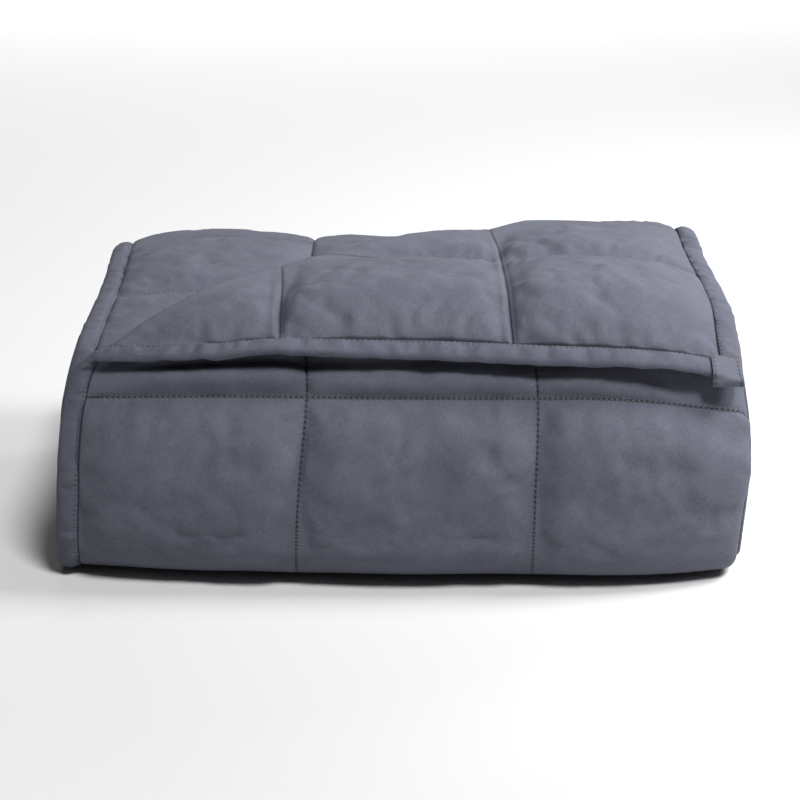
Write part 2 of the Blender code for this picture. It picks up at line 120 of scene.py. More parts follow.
# Settling of the stack; three numbers are an amount, where it starts and over what length
TOP_NARROWING = 0.055
TOP_SHIFT = 0.003  # and the top leans to the right
SIDE_START, SIDE_LENGTH = 0.11, 0.116  # the sides are rounded from here on
SIDE_MOST = 1.3  # and no more than this
FRONT_ROUNDING = (0.024, 0.0, 0.12)
BACK_ROUNDING = (0.02, 0.2, 0.12)
SIDE_DROOP = (0.04, 0.105)  # left and right
DROOP_LESS = (0.055, 0.1, 0.2)  # and less on the right towards the back
BACK_SINK = 0.035  # share pressed down under the flap's back
SINK_X, SINK_Y = (-0.04, 0.12), (0.16, 0.14)
STACK_HEIGHT = 0.17

# Where handling has pushed the stack out of true, over what reach, and by how much. The part's
# plain solids go without the last two.
HANDLING = (
    ("left shoulder", (-0.2, 0.17, 0.18), (0.08, 0.14, 0.05), (0.0075, 0, -0.002)),
    ("top, front left", (-0.17, 0.05, 0.165), (0.1, 0.05, 0.035), (0, 0, -0.003)),
    ("front, left", (-0.24, 0.03, 0.12), (0.08, 0.08, 0.05), (-0.006, 0, 0)),
    ("seam, left", (-0.13, 0.02, 0.115), (0.08, 0.05, 0.03), (0, 0, 0.003)),
    ("seam, right", (0.21, 0.02, 0.12), (0.05, 0.05, 0.03), (0, 0, -0.003)),
    ("front, right", (0.23, 0.03, 0.105), (0.1, 0.1, 0.04), (0.005, 0, 0)),
    ("right foot", (0.2, 0.03, 0.015), (0.08, 0.1, 0.04), (-0.0075, -0.008, 0)),
    ("left foot", (-0.15, 0.02, 0.01), (0.08, 0.08, 0.04), (0, 0.007, 0)),
    ("front, upper part", (0, 0.02, 0.135), (0.15, 0.05, 0.04), (0.004, 0, 0)),
    ("middle of the top", (0.05, 0.16, 0.18), (0.09, 0.08, 0.06), (0, 0, -0.002)),
    ("back, left corner", (-0.18, 0.32, 0.17), (0.07, 0.09, 0.05), (0, 0, 0.004)),
    ("back, left", (-0.07, 0.33, 0.18), (0.1, 0.1, 0.05), (0, 0, -0.004)),
    ("back, middle", (0.06, 0.31, 0.19), (0.09, 0.1, 0.05), (0, 0, -0.008)),
    ("back, right", (0.2, 0.33, 0.17), (0.07, 0.1, 0.06), (0.004, 0, 0.003)),
    ("top, right edge", (0.22, 0.12, 0.17), (0.05, 0.08, 0.03), (0.0045, 0, 0)),
    ("diagonal, left", (-0.16, 0.07, 0.17), (0.075, 0.05, 0.03), (0, -0.004, -0.007)),
)
FRONT_FACE_Y = 0.0165  # the strip's foremost point

# The corner loop's tape
LOOP_WIDTH = 0.02
LOOP_SEWN = 0.0148  # how much of it lies on the binding
LOOP_REACH = 0.0058  # how far it reaches past the edge
LOOP_HALF = 0.0005  # half its thickness
LOOP_EYE = 0.004  # its distance from the middle of the cloth
LOOP_INSET = 0.001  # from the blanket's corner
LOOP_EASE = 0.004  # past the edge it comes level over this length
TAPE_SEAM = 0.0016  # its two rows of stitches, from its sides


def smooth(value):
    """0 below 0, 1 above 1, and an S between."""
    t = np.clip(value, 0, 1)
    return t * t * (3.0 - 2 * t)


def ramp(value, start, length):
    """0 up to the start, then an S up to 1 over the length."""
    return smooth((value - start) / length)


def hill(value, middle, width):
    """1 in the middle, falling away on both sides."""
    return np.exp(-((value - middle) / width) ** 2)


def unit(vectors):
    """The same directions, one unit long."""
    return vectors / np.linalg.norm(vectors, axis=-1, keepdims=True)


def fold_path():
    """The middle line of the double strip in the Y-Z plane, as a table along its length."""
    lengths = np.array(LENGTHS)
    ends = np.cumsum(lengths)
    turns = np.radians(TURNS)
    along = np.arange(-BEND_EASE, ends[-1] + 2 * BEND_EASE, PATH_STEP)
    section = np.clip(np.searchsorted(ends, along, side="right"), 0, len(ends) - 1)
    inside = (along > 0) & (along < ends[-1])
    bend = np.where(inside, turns[section] / lengths[section], 0.0)
    cells = int(BEND_EASE / PATH_STEP)
    bend = np.convolve(bend, np.ones(cells) / cells, mode="same")
    heading = math.radians(START_HEADING) + np.cumsum(bend) * PATH_STEP
    y = np.cumsum(np.cos(heading)) * PATH_STEP
    z = np.cumsum(np.sin(heading)) * PATH_STEP
    front = (along > ends[TOP]) & (along < ends[FOOT])
    bottom = np.searchsorted(along, 0.5 * (ends[FOOT] + ends[BOTTOM]))
    y += FRONT_FACE_Y - y[front].min()
    z += APARTS[BOTTOM] + LOFT_HALF - BOTTOM_PRESS - z[bottom]
    middles = ends - 0.5 * lengths
    apart = np.interp(along, middles, APARTS)
    loft = np.interp(along, middles, LOFTS)
    slip = np.radians(np.interp(along, ends, SLIPS))
    return {"along": along, "heading": heading, "y": y, "z": z,
            "apart": apart, "loft": loft, "slip": slip}


PATH = fold_path()


def on_path(column, along):
    """A column of the fold's table, read at places along it."""
    return np.interp(along, PATH["along"], PATH[column])


def layer_point(u, v, lift):
    """The point of the folded, untouched blanket at (u, v), lifted off its layer."""
    apart = on_path("apart", v)
    angle = np.clip(u / apart, -0.5 * math.pi, 0.5 * math.pi)
    straight = np.maximum(np.abs(u) - 0.5 * math.pi * apart, 0.0)
    x = FOLD_X + (apart + lift) * np.cos(angle) - straight
    off = (apart + lift) * np.sin(angle)
    along = v - apart * np.sin(angle) * on_path("slip", v)
    heading = on_path("heading", along)
    y = on_path("y", along) + np.sin(heading) * off
    z = on_path("z", along) - np.cos(heading) * off
    return np.stack([x, y, z], axis=-1)


def settle(point):
    """The whole stack narrows upwards, and its corners and sides are rounded."""
    x, y, z = np.moveaxis(point, -1, 0)
    side = np.clip((np.abs(x) - SIDE_START) / SIDE_LENGTH, 0.0, SIDE_MOST) ** 2
    y = y + FRONT_ROUNDING[0] * side * (1 - ramp(y, *FRONT_ROUNDING[1:]))
    y = y - BACK_ROUNDING[0] * side * ramp(y, *BACK_ROUNDING[1:])
    sink = BACK_SINK * ramp(x, *SINK_X) * ramp(y, *SINK_Y)
    right_droop = SIDE_DROOP[1] - DROOP_LESS[0] * ramp(y, *DROOP_LESS[1:])
    z = z * (1 - np.where(x < 0.0, SIDE_DROOP[0], right_droop) * side - sink)
    x = x + (TOP_SHIFT - TOP_NARROWING * x) * smooth(z / STACK_HEIGHT)
    settled = np.stack([x, y, z], axis=-1)
    given = 0.0
    for _, where, reach, amount in HANDLING:
        away = (settled - where) / reach
        given = given + np.exp(-np.sum(away * away, axis=-1))[..., None] * np.array(amount)
    return settled + given


def past_diagonal(u, v):
    """The distance beyond the diagonal on which the corner turns over."""
    past = (TURN_START - v - HALF_WIDTH + u) / ROOT_2
    return np.where(u > 0, past, -1.0)


def past_bared(u, v):
    """The same distance on the ply below, which the corner has bared."""
    return (TURN_START - v - HALF_WIDTH - u) / ROOT_2


def turned_over(u, v):
    """1 on the turned-over corner, and 0 from the diagonal on."""
    before = TURN_START - DIP_START - v
    return smooth(past_diagonal(u, v) / TURN_EASE) * smooth(before / TURN_EASE)


def cloth_middle(u, v):
    """Where the middle of the cloth at flat (u, v) lies once it is folded, before it settles."""
    from_left = HALF_WIDTH - u
    from_turn = TURN_START - v
    past = (from_turn - from_left) / ROOT_2
    middle = (from_turn + from_left) / ROOT_2
    start = -0.5 * math.pi * TURN_RADIUS
    angle = np.clip((past - start) / TURN_RADIUS, 0.0, math.pi)
    over = np.where(angle < math.pi, start + TURN_RADIUS * np.sin(angle), -past)
    turned = (u > 0) & (past > start)
    new_u = np.where(turned, HALF_WIDTH - (middle - over) / ROOT_2, u)
    new_v = np.where(turned, TURN_START - (middle + over) / ROOT_2, v)
    roll = ROLL_RISE * hill(middle, ROLL_PLACE, ROLL_LENGTH) * hill(past, 0, ROLL_REACH)
    lift = np.where(turned, (TURN_RADIUS + roll) * (1 - np.cos(angle)), 0.0)
    edge = EDGE_LIFT + sum(rise * hill(from_turn, *where) for rise, *where in EDGE_RISES)
    edge = edge * np.clip(1 - from_left / EDGE_LENGTH, 0, 1) ** 2 * smooth(past / EDGE_LENGTH)
    edge = np.where(turned, edge, 0.0)
    forward = sum(amount * ramp(past, *where) for amount, *where in FLAP_FORWARD)
    new_v = new_v + forward * smooth(u / SLIDE_EASE)
    round_front = np.maximum(new_v - SHOULDER_START, 0.0)
    new_v = new_v - round_front * (1 - 1 / (1 + SHOULDER_BEND * (lift + EDGE_PATH * edge)))
    bared = np.where(u > 0, 0.0, BARE_LIFT * smooth(past_bared(u, v) / BARE_LENGTH))
    point = layer_point(new_u, new_v, lift + edge - bared)
    far_end = smooth(0.5 * middle / SLIDE_LENGTH)
    slide = FLAP_SLIDE[0] + (FLAP_SLIDE[1] - FLAP_SLIDE[0]) * far_end
    point[..., 0] += slide * ramp(past, -0.5 * SLIDE_EASE, SLIDE_EASE) * smooth(u / SLIDE_LENGTH)
    return point


def cloth_normal(u, v):
    """The unit normal of face A, the blanket's outer face; face B is the other one."""
    along_u = cloth_middle(u + NORMAL_STEP, v) - cloth_middle(u - NORMAL_STEP, v)
    along_v = cloth_middle(u, v + NORMAL_STEP) - cloth_middle(u, v - NORMAL_STEP)
    return unit(np.cross(along_u, along_v))


def cell_of(value, lines):
    """Which cell between two lines a value falls in, and how far across it."""
    lines = np.array(lines)
    cell = np.clip(np.searchsorted(lines, value, side="right") - 1, 0, len(lines) - 2)
    share = (value - lines[cell]) / (lines[cell + 1] - lines[cell])
    return cell, np.clip(share, 0, 1)


def pocket_rise(value, seams):
    """0 on a seam and 1 midway between two."""
    return np.sin(math.pi * cell_of(value, seams)[1]) ** PUFF_POWER


COLUMN_LINES = (-HALF_WIDTH + BINDING_WIDTH, *(-seam for seam in reversed(COLUMN_SEAMS)), 0.0,
                *COLUMN_SEAMS, HALF_WIDTH - BINDING_WIDTH)
ROW_LINES = (BINDING_WIDTH, *ROW_SEAMS, LENGTH - BINDING_WIDTH)


def place_face(u, v, offset):
    """The point of the settled stack at an offset from the middle of the cloth, towards face A."""
    point = settle(cloth_middle(u, v) + cloth_normal(u, v) * offset[..., None])
    point[..., 2] = np.maximum(point[..., 2], 0.0)
    return point + np.array(FRAME_SHIFT)


def loop_face(s, t, face):
    """A point on the corner loop: s runs along the tape from end to end, t across it."""
    run = LOOP_SEWN + LOOP_REACH - LOOP_EYE
    turn = np.clip((s - run) / LOOP_EYE, 0.0, math.pi)
    back = np.maximum(s - run - math.pi * LOOP_EYE, 0.0)
    radius = LOOP_EYE + face * LOOP_HALF
    out = np.minimum(s, run) - LOOP_SEWN + radius * np.sin(turn) - back
    high = radius * np.cos(turn)
    inside = HALF_WIDTH + np.minimum(out, 0.0)
    sewn = place_face(inside, t, BINDING_DIP - high)
    centre = np.array([HALF_WIDTH])
    middle = np.array([LOOP_INSET + 0.5 * LOOP_WIDTH])
    edge = place_face(centre, middle, np.array([BINDING_DIP]))
    level = edge - place_face(centre, middle, np.array([BINDING_DIP + LOOP_EYE]))
    level[..., 0] = 0.0
    level = unit(level)
    sideways = np.array([1.0, 0.0, 0.0])
    away = np.cross(sideways, level)
    past = np.maximum(out, 0.0)[..., None]
    rigid = edge + (middle - t)[..., None] * sideways + level * high[..., None]
    free = smooth(out / LOOP_EASE)[..., None]
    return sewn + (rigid - sewn) * free + away * past


# Cells of the cloth, small enough for its wrinkles
OUTER_END = ROW_SEAMS[3]  # the outer ply is cut off at this seam
FINE = 0.0031  # of what shows
SEAM_CELLS = (0.001, 0.0022, 0.0038, 0.006)  # lines beside a seam, for its groove
COARSE = 0.008  # of what lies inside the stack
BEND_CELL, BENT = 0.0035, 30  # of its bends, which turn by more degrees than this
HAIRPIN_REACH, HAIRPIN_CELL = 0.0135, 0.0015
TUCKED = 0.002  # how far the cloth runs on under its binding
BINDING_CELL, BINDING_STEP = 0.0019, 0.0023  # across the binding and along it
TAPE_CELL = 0.0008
HAIR = 1e-5  # lines closer than this are one

# Needlework
STITCH_PITCH = 0.0036
STITCH_LENGTH, STITCH_WIDTH, STITCH_HEIGHT = 0.0024, 0.00042, 0.00034
STITCH_SINK, DEEP_SINK = 0.0001, 0.00028  # the thread pulls into the cloth by this much
STITCH_SIDE = 0.0005  # and lies level with the cloth this far beside it
TOPSTITCH = 0.001  # from the binding's inner edge
BAR_TACK = (0.0008, 0.0014, 0.002)  # rows that hold the loop's end, from that end
TACK_INSET, TACK_GAP = 0.0005, 0.001  # from the tape's sides, and from the rows along them
SEAMS_DOWN = 0.7  # seams are stitched to here, at the floor
CLEAR = 0.012  # and stop this far from the diagonal,
CLEAR_ROW, CLEAR_TURNED = 0.01, 0.004  # or this far, on rows and on the corner
CLEAR_EDGE = (0.01, 0.002, 0.02)  # along the edge: outside, on the corner, below
SHORTEST_SEAM, SHOWN_ROWS = 0.03, 5

# Wrinkles where nothing presses on the cloth, from a simulated sample
SAMPLE_COLUMNS, SAMPLE_ROWS, SAMPLE_CELLS = 3, 2, 40
SAMPLE_EXCESS = 0.045  # more cloth than its pockets' size
SAMPLE_UNEVENNESS, SAMPLE_SEED = 0.0004, 7
SAMPLE_FRAMES = 24
SAMPLE_CLOTH = {
    "quality": 6, "mass": 0.15, "tension_stiffness": 20.0, "compression_stiffness": 20.0,
    "shear_stiffness": 8.0, "bending_stiffness": 0.05, "vertex_group_mass": "seams",
    "shrink_min": -SAMPLE_EXCESS, "use_pressure": True, "uniform_pressure_force": 0.8,
}
SMOOTHING = 5  # cells; what is broader is the pocket's own crown
RELIEF_LIMIT, RELIEF_GAIN = 0.0016, 1.6
OPEN_END = (0.06, 0.05)  # past the outer ply's end the relief fades: from, over
THINNEST = 0.0005  # half the cloth, where the relief draws it in most

# Beside the seams: height or depth, and reach
CROWN, CROWN_REACH = 0.0026, 0.007
GROOVE, GROOVE_WIDTH = 0.0013, 0.0019
EDGE_CROWN, EDGE_CROWN_REACH = 0.0016, 0.0032
LIP = (0.0026, 0.0038, 0.0021)  # on the corner the cloth stands up beside its seams' one side:
LIP_OTHER = 0.2  # height, place, width, and the share of that on the other side

# Under the corner's bound edge: the front pockets bulge out, and above that they fall back
BULGE_HEIGHT, BULGE_TOP = 0.0055, 0.435
BULGE_EASE = (0.0145, 0.008)  # the bulge begins over this, and less at the left
BULGE_FALL = (0.011, 0.0125)  # below its top it falls away again: from, over
BULGE_LEFT, LEFT_POCKET = 0.28, (0.27, 0.06)  # its share in the left pocket alone: from, over
BULGE_RISE = (0.004, 0.25, 0.08)  # there it starts higher: amount, from, over
BULGE_END = (0.37, 0.07)  # and ends before the binding
HOLLOW = (0.004, 0.4325, 0.0045)  # depth, middle and width along the blanket
HOLLOW_RIGHT = (0.0015, 0.1)  # deeper towards the right: amount, over
RIGHT_HOLLOW = (0.008, 0.442, 0.0095)  # deep shade under the corner's right-hand end
NEAR_LOOP = (0.035, 0.045)  # no bulge near the corner loop: middle and width
FOOT_PULL = (0.0042, 0.498, 0.072)  # the front is drawn in at its foot: amount, from, over,
FOOT_PULL_RIGHT = (0.0042, 0.2)  # and more on the right
PRESSED = (0.0045, 0.024, 0.03)  # the corner lies flat by the diagonal: depth, middle, width
PRESSED_EASE = 0.015

# Where cloth lies smooth, its small relief loses this share
CALM_FOLD, CALM_REACH = 0.85, 0.026  # along the diagonal
CALM_LESS = (0.4, 0.008)  # of that, less on the turned-over side, within this distance
CALM_FOOT = (0.56, 0.03)  # all of it where the cloth turns under the stack: from, over
CALM_BELOW = 0.3  # on the ply below
CREST = (0.7, 0.145, 0.028)  # over the back shoulder: share, middle and width
CALM_BULGE = (0.7, 0.441, 0.01)  # on the bulge's top

# Soft random hills: height, size across, size along, and the seed
DENTS = ((0.0012, 0.045, 0.05, 3), (0.0008, 0.021, 0.026, 4), (0.0004, 0.009, 0.012, 9))
DENT_SHIFT = (0.405, 0.0, 0.0)
DRAG, DRAG_PLACE, DRAG_REACH = (0.001, 0.011, 0.075, 5), 0.012, 0.03
DRAG_SEAM = ROW_SEAMS[2]  # these hang from the front's upper seam
PUCKER, PUCKER_REACH, PUCKER_EASE = (0.0022, 0.0066, 0.03, 6), 0.01, 0.003  # at the binding
GATHER, GATHER_REACH = (0.0007, 0.0085, 0.02, 13), 0.01  # at a seam
LINES, LINES_END, LINES_REACH = (0.0005, 0.055, 0.0065, 8), 1.4, 0.12  # on the ply below
SEAM_EASE = 0.004  # none of these on a seam
BOUND_PUCKER, BOUND_SHIFT = (0.001, 0.005, 0.009, 11), 0.027
BOUND_PUCKER_EASE = (0.002, 0.004)  # from the rim, over
BOUND_WAVE = (0.0005, 0.017, 0.02, 12)
RUFFLE, RUFFLE_SLANT, RUFFLE_EASE = (0.0014, 0.0085, 0.03, 14), 0.0085 / 0.012, 0.003

# The binding's section
BINDING_SWELL, SWELL_POWER = 0.0011, 1.5
DRAWN_IN, DRAWN_WIDTH = 0.0009, 0.0013  # along its topstitching
INNER_EDGE_HALF = SEAM_HALF - 0.0004  # its inner edge is sewn down on the cloth
TAPE_BED = 0.0027  # half its thickness under the loop's tape
TAPE_MARGIN, TAPE_EASE = 0.004, 0.003


def even(low, high, step):
    """Lines from low to high, evenly spaced and at most a step apart, without the last."""
    count = max(1, math.ceil((high - low) / step - 1e-6))
    return [low + (high - low) * index / count for index in range(count)]


def closer_at_seams(low, high, step, seams):
    """As even, with more lines beside each end that is a seam."""
    if step > FINE or high - low < 3 * SEAM_CELLS[-1]:
        return even(low, high, step)
    at_low = min(abs(low - seam) for seam in seams) < HAIR
    at_high = min(abs(high - seam) for seam in seams) < HAIR
    first = [low, *(low + cell for cell in SEAM_CELLS[:-1])] if at_low else []
    last = [high - cell for cell in reversed(SEAM_CELLS)] if at_high else []
    start = low + SEAM_CELLS[-1] if at_low else low
    middle = even(start, last[0] if last else high, step)
    return [*first, *middle, *last]


def columns_between(left, right, step):
    """Lines across the cloth: on each seam, fine round the lengthwise fold, and evenly between."""
    stops = [left, right, -HAIRPIN_REACH, HAIRPIN_REACH, *COLUMN_LINES]
    stops = sorted({stop for stop in stops if left <= stop <= right})
    lines = []
    for low, high in zip(stops, stops[1:]):
        if max(abs(low), abs(high)) < HAIRPIN_REACH + HAIR:
            lines += even(low, high, HAIRPIN_CELL)
        else:
            lines += closer_at_seams(low, high, step, COLUMN_LINES)
    return [*lines, right]


def rows_between(start, end, step):
    """Lines along the cloth: on each seam, finer in the bends, and evenly between."""
    ends = np.cumsum(LENGTHS)
    stops = sorted({stop for stop in (start, end, *ROW_LINES, *ends) if start <= stop <= end})
    lines = []
    for low, high in zip(stops, stops[1:]):
        section = min(int(np.searchsorted(ends, 0.5 * (low + high))), len(ends) - 1)
        bent = abs(TURNS[section]) > BENT
        lines += closer_at_seams(low, high, min(step, BEND_CELL) if bent else step, ROW_LINES)
    return [*lines, end]


def blend(corner, across, along):
    """The value inside a cell, between its four corners."""
    near = corner(0, 0) * (1 - across) + corner(1, 0) * across
    far = corner(0, 1) * (1 - across) + corner(1, 1) * across
    return near * (1 - along) + far * along


def smooth_noise(x, y, seed):
    """Soft random hills between -1 and 1, one unit apart."""
    size = 128
    heights = np.random.default_rng(seed).uniform(-1.0, 1.0, (size, size))
    column, row = np.floor(x).astype(int), np.floor(y).astype(int)

    def corner(right, above):
        return heights[(column + right) % size, (row + above) % size]

    return blend(corner, smooth(x - column), smooth(y - row))


def random_hills(kind, x, y):
    """Soft random hills of one kind: its height, its sizes and its seed."""
    height, across, along, seed = kind
    return height * smooth_noise(x / across, y / along, seed)


def blurred(heights, reach):
    """Heights with everything narrower than the reach smoothed away."""
    weights = np.exp(-0.5 * (np.arange(-2 * reach, 2 * reach + 1) / (0.7 * reach)) ** 2)
    weights = weights / weights.sum()
    blur = np.pad(heights, 2 * reach, mode="reflect")
    for axis in (0, 1):
        blur = np.apply_along_axis(np.convolve, axis, blur, weights, mode="valid")
    return blur


def add_object(name, data, place=(0.0, 0.0, 0.0), turn=(0.0, 0.0, 0.0)):
    """Puts a mesh, a lamp or a camera into the scene."""
    made = bpy.data.objects.new(name, data)
    made.location, made.rotation_euler = place, turn
    scene.collection.objects.link(made)
    return made


def as_mesh(name, sheet):
    """Ends the work on a sheet and keeps it as a mesh."""
    mesh = bpy.data.meshes.new(name)
    sheet.to_mesh(mesh)
    sheet.free()
    return mesh


def sewn_sample():
    """Pockets of cloth, a little too large for the seams that hold them, puffed up by simulation
    until they wrinkle. The result is the fine relief of each pocket, as heights."""
    pocket = LENGTH / ROWS
    sheet = bmesh.new()
    across, along = SAMPLE_COLUMNS * SAMPLE_CELLS, SAMPLE_ROWS * SAMPLE_CELLS
    bmesh.ops.create_grid(sheet, x_segments=across, y_segments=along, size=0.5)
    column = np.array([round((vert.co.x + 0.5) * across) for vert in sheet.verts])
    row = np.array([round((vert.co.y + 0.5) * along) for vert in sheet.verts])
    random = np.random.default_rng(SAMPLE_SEED)
    unevenness = random.uniform(-SAMPLE_UNEVENNESS, SAMPLE_UNEVENNESS, len(column))
    on_seam = (column % SAMPLE_CELLS == 0) | (row % SAMPLE_CELLS == 0)
    for vert, x, y, bump, held in zip(sheet.verts, column, row, unevenness, on_seam):
        vert.co = (x * pocket / SAMPLE_CELLS, y * pocket / SAMPLE_CELLS, 0.0 if held else bump)
    mesh = as_mesh("sample", sheet)
    sample = add_object("sample", mesh)
    sample.vertex_groups.new(name="seams").add(np.flatnonzero(on_seam).tolist(), 1.0, "REPLACE")
    cloth = sample.modifiers.new("cloth", "CLOTH")
    for name, value in SAMPLE_CLOTH.items():
        setattr(cloth.settings, name, value)
    cloth.settings.effector_weights.gravity = 0.0
    cloth.collision_settings.use_collision = False
    cloth.point_cache.frame_start = 1
    cloth.point_cache.frame_end = SAMPLE_FRAMES
    for step in range(1, SAMPLE_FRAMES + 1):
        scene.frame_set(step)
    shaped = sample.evaluated_get(bpy.context.evaluated_depsgraph_get()).to_mesh()
    points = np.empty(len(shaped.vertices) * 3)
    shaped.vertices.foreach_get("co", points)
    heights = np.zeros((across + 1, along + 1))
    heights[column, row] = points[2::3]
    bpy.data.objects.remove(sample, do_unlink=True)
    bpy.data.meshes.remove(mesh)
    scene.frame_set(1)
    relief = heights - blurred(heights, SMOOTHING)
    relief = RELIEF_LIMIT * np.tanh(RELIEF_GAIN * relief / RELIEF_LIMIT)
    size = SAMPLE_CELLS
    return np.stack([relief[first:first + size + 1, second:second + size + 1]
                     for first in range(0, across, size) for second in range(0, along, size)])


RELIEF = sewn_sample()


def sewn_relief(u, v):
    """The sample's wrinkles, laid into each pocket of the blanket one way or another."""
    if RELIEF is None:
        return np.zeros_like(u)
    column, across = cell_of(u, COLUMN_LINES)
    row, along = cell_of(v, ROW_LINES)
    pick = (column * 5 + row * 7) % len(RELIEF)
    across = np.where((column + row) % 2 == 0, across, 1 - across)
    along = np.where((column + 2 * row) % 3 == 0, along, 1 - along)
    x, y = across * SAMPLE_CELLS, along * SAMPLE_CELLS
    low_x = np.minimum(x.astype(int), SAMPLE_CELLS - 1)
    low_y = np.minimum(y.astype(int), SAMPLE_CELLS - 1)

    def corner(right, above):
        return RELIEF[pick, low_x + right, low_y + above]

    return blend(corner, x - low_x, y - low_y)


def seam_distance(u, v):
    """How far the nearest seam is, and how far along it."""
    from_column = np.min([np.abs(u - line) for line in COLUMN_LINES[1:-1]], axis=0)
    from_row = np.min([np.abs(v - line) for line in ROW_SEAMS], axis=0)
    return np.minimum(from_column, from_row), np.where(from_row < from_column, u, v)


def to_binding(u, v):
    """How far the binding is from a point of the cloth."""
    return np.minimum(HALF_WIDTH - np.abs(u), v) - BINDING_WIDTH


def along_edge(u, v):
    """How far in from the nearest edge of the blanket, and how far along that edge."""
    side, end = HALF_WIDTH - np.abs(u), np.minimum(v, LENGTH - v)
    return np.minimum(side, end), np.where(side < end, v, u)


def shows(u, v, face):
    """1 where a face of the cloth lies open on the outside of the stack."""
    past = past_diagonal(u, v)
    outside = (u >= 0) * (face > 0) * (1 - ramp(past, -1.5 * CREASE_WIDTH, CREASE_WIDTH))
    turned = (face < 0) * smooth(past / CREASE_WIDTH)
    bared = (u < 0) * (face < 0) * smooth(past_bared(u, v) / TURN_EASE)
    fading = smooth((OUTER_END + OPEN_END[0] - v) / OPEN_END[1])
    return np.maximum(np.maximum(outside, turned), bared) * fading


def seam_relief(u, v):
    """The pockets puff up close beside their seams, and the stitches draw the seams in."""
    near = seam_distance(u, v)[0]
    crown = CROWN * (1 - np.exp(-near / CROWN_REACH)) - GROOVE * hill(near, 0, GROOVE_WIDTH)
    to_edge = np.maximum(to_binding(u, v), 0.0)
    edge = -EDGE_CROWN * np.exp(-to_edge / EDGE_CROWN_REACH)
    lines = np.array(ROW_SEAMS)
    beside = v - lines[np.argmin(np.abs(v[..., None] - lines), axis=-1)]
    lip = LIP[0] * (past_diagonal(u, v) > 0) * np.where(beside > 0, 1.0, LIP_OTHER)
    return crown + edge + lip * hill(np.abs(beside), *LIP[1:])


def shoulder_relief(u, v, face):
    """Below the corner's bound edge the front pockets bulge; just under it they fall back."""
    top = BULGE_TOP - BULGE_RISE[0] * ramp(u, *BULGE_RISE[1:])
    left = ramp(u, *LEFT_POCKET)
    bulge = BULGE_HEIGHT * (1 - BULGE_LEFT + BULGE_LEFT * left)
    bulge = bulge * ramp(v, top, BULGE_EASE[0] - BULGE_EASE[1] * left)
    bulge = bulge * (1 - ramp(v - top, *BULGE_FALL))
    hollow = HOLLOW[0] + HOLLOW_RIGHT[0] * (1 - smooth(u / HOLLOW_RIGHT[1]))
    near_loop = hill(u, *NEAR_LOOP)
    hollow = hollow * hill(v, *HOLLOW[1:])
    hollow = hollow + RIGHT_HOLLOW[0] * near_loop * hill(v, *RIGHT_HOLLOW[1:])
    shoulder = (bulge * (1 - near_loop) - hollow) * (1 - ramp(u, *BULGE_END))
    pull = FOOT_PULL[0] + FOOT_PULL_RIGHT[0] * (1 - smooth(u / FOOT_PULL_RIGHT[1]))
    return (u > 0) * (face > 0) * (shoulder - pull * ramp(v, *FOOT_PULL[1:]))


def fold_relief(u, v, face):
    """The turned-over corner lies flat beside the diagonal."""
    past = past_diagonal(u, v)
    return -PRESSED[0] * (face < 0) * hill(past, *PRESSED[1:]) * smooth(past / PRESSED_EASE)


def calmness(u, v, face):
    """How much of the small relief is left: less of it on folds, and where cloth is pulled."""
    past = past_diagonal(u, v)
    less = 1 - CALM_LESS[0] * smooth(past / CALM_LESS[1])
    calm = 1 - CALM_FOLD * hill(past, 0, CALM_REACH) * less
    calm = calm * (1 - ramp(v, *CALM_FOOT)) * np.where(u < 0, 1 - CALM_BELOW, 1.0)
    along = np.where(past > 0, u - HALF_WIDTH + TURN_START, v)
    calm = calm * (1 - CREST[0] * hill(along, *CREST[1:]))
    return calm * (1 - CALM_BULGE[0] * (u > 0) * (face > 0) * hill(v, *CALM_BULGE[1:]))


def hand_relief(u, v):
    """Broad dents from handling, drag lines below a seam, and puckers beside the binding."""
    dents = sum(random_hills(kind, u + shift, v) for kind, shift in zip(DENTS, DENT_SHIFT))
    below = v - DRAG_SEAM
    drag = (below > 0) * np.exp(-np.abs(below - DRAG_PLACE) / DRAG_REACH) * random_hills(DRAG, u, v)
    edge, along = to_binding(u, v), along_edge(u, v)[1]
    pucker = np.exp(-edge / PUCKER_REACH) * smooth(edge / PUCKER_EASE)
    pucker = pucker * random_hills(PUCKER, along, edge)
    distance, place = seam_distance(u, v)
    gathers = np.exp(-distance / GATHER_REACH) * random_hills(GATHER, place, distance)
    lines = (u < 0) * (1 + LINES_END * hill(v, 0, LINES_REACH)) * random_hills(LINES, u, v)
    return dents + drag + pucker + gathers + lines


def quilt_face(u, v, face):
    """A point on a face of the quilted cloth, with all its relief. face holds 1 or -1 for each."""
    rise = pocket_rise(u, COLUMN_LINES) * pocket_rise(v, ROW_LINES)
    past = past_diagonal(u, v)
    turned = smooth(past / CREASE_WIDTH)
    loft = LOFT_HALF * (on_path("loft", v) * (1 - turned) + FLAP_LOFT * turned)
    loft = loft * (1 - CREASE_SQUASH * hill(past, 0, CREASE_WIDTH))
    under = 1 - HAIRPIN_SQUASH * hill(u, 0, HAIRPIN_WIDTH)
    bared = (u < 0) * smooth(past_bared(u, v) / BARE_EASE)
    free = FREE_LOFT * np.maximum(smooth(past / TURN_EASE), bared)
    loft = np.where(face < 0, loft * under + free, loft)
    half = SEAM_HALF + (loft - SEAM_HALF) * rise
    off_seam = smooth(seam_distance(u, v)[0] / SEAM_EASE)
    relief = sewn_relief(u, v) + off_seam * hand_relief(u, v) + seam_relief(u, v)
    relief = calmness(u, v, face) * relief + shoulder_relief(u, v, face) + fold_relief(u, v, face)
    half = np.maximum(half + shows(u, v, face) * relief, THINNEST)
    return place_face(u, v, face * half + SEAM_DIP * (1 - rise) * turned_over(u, v))


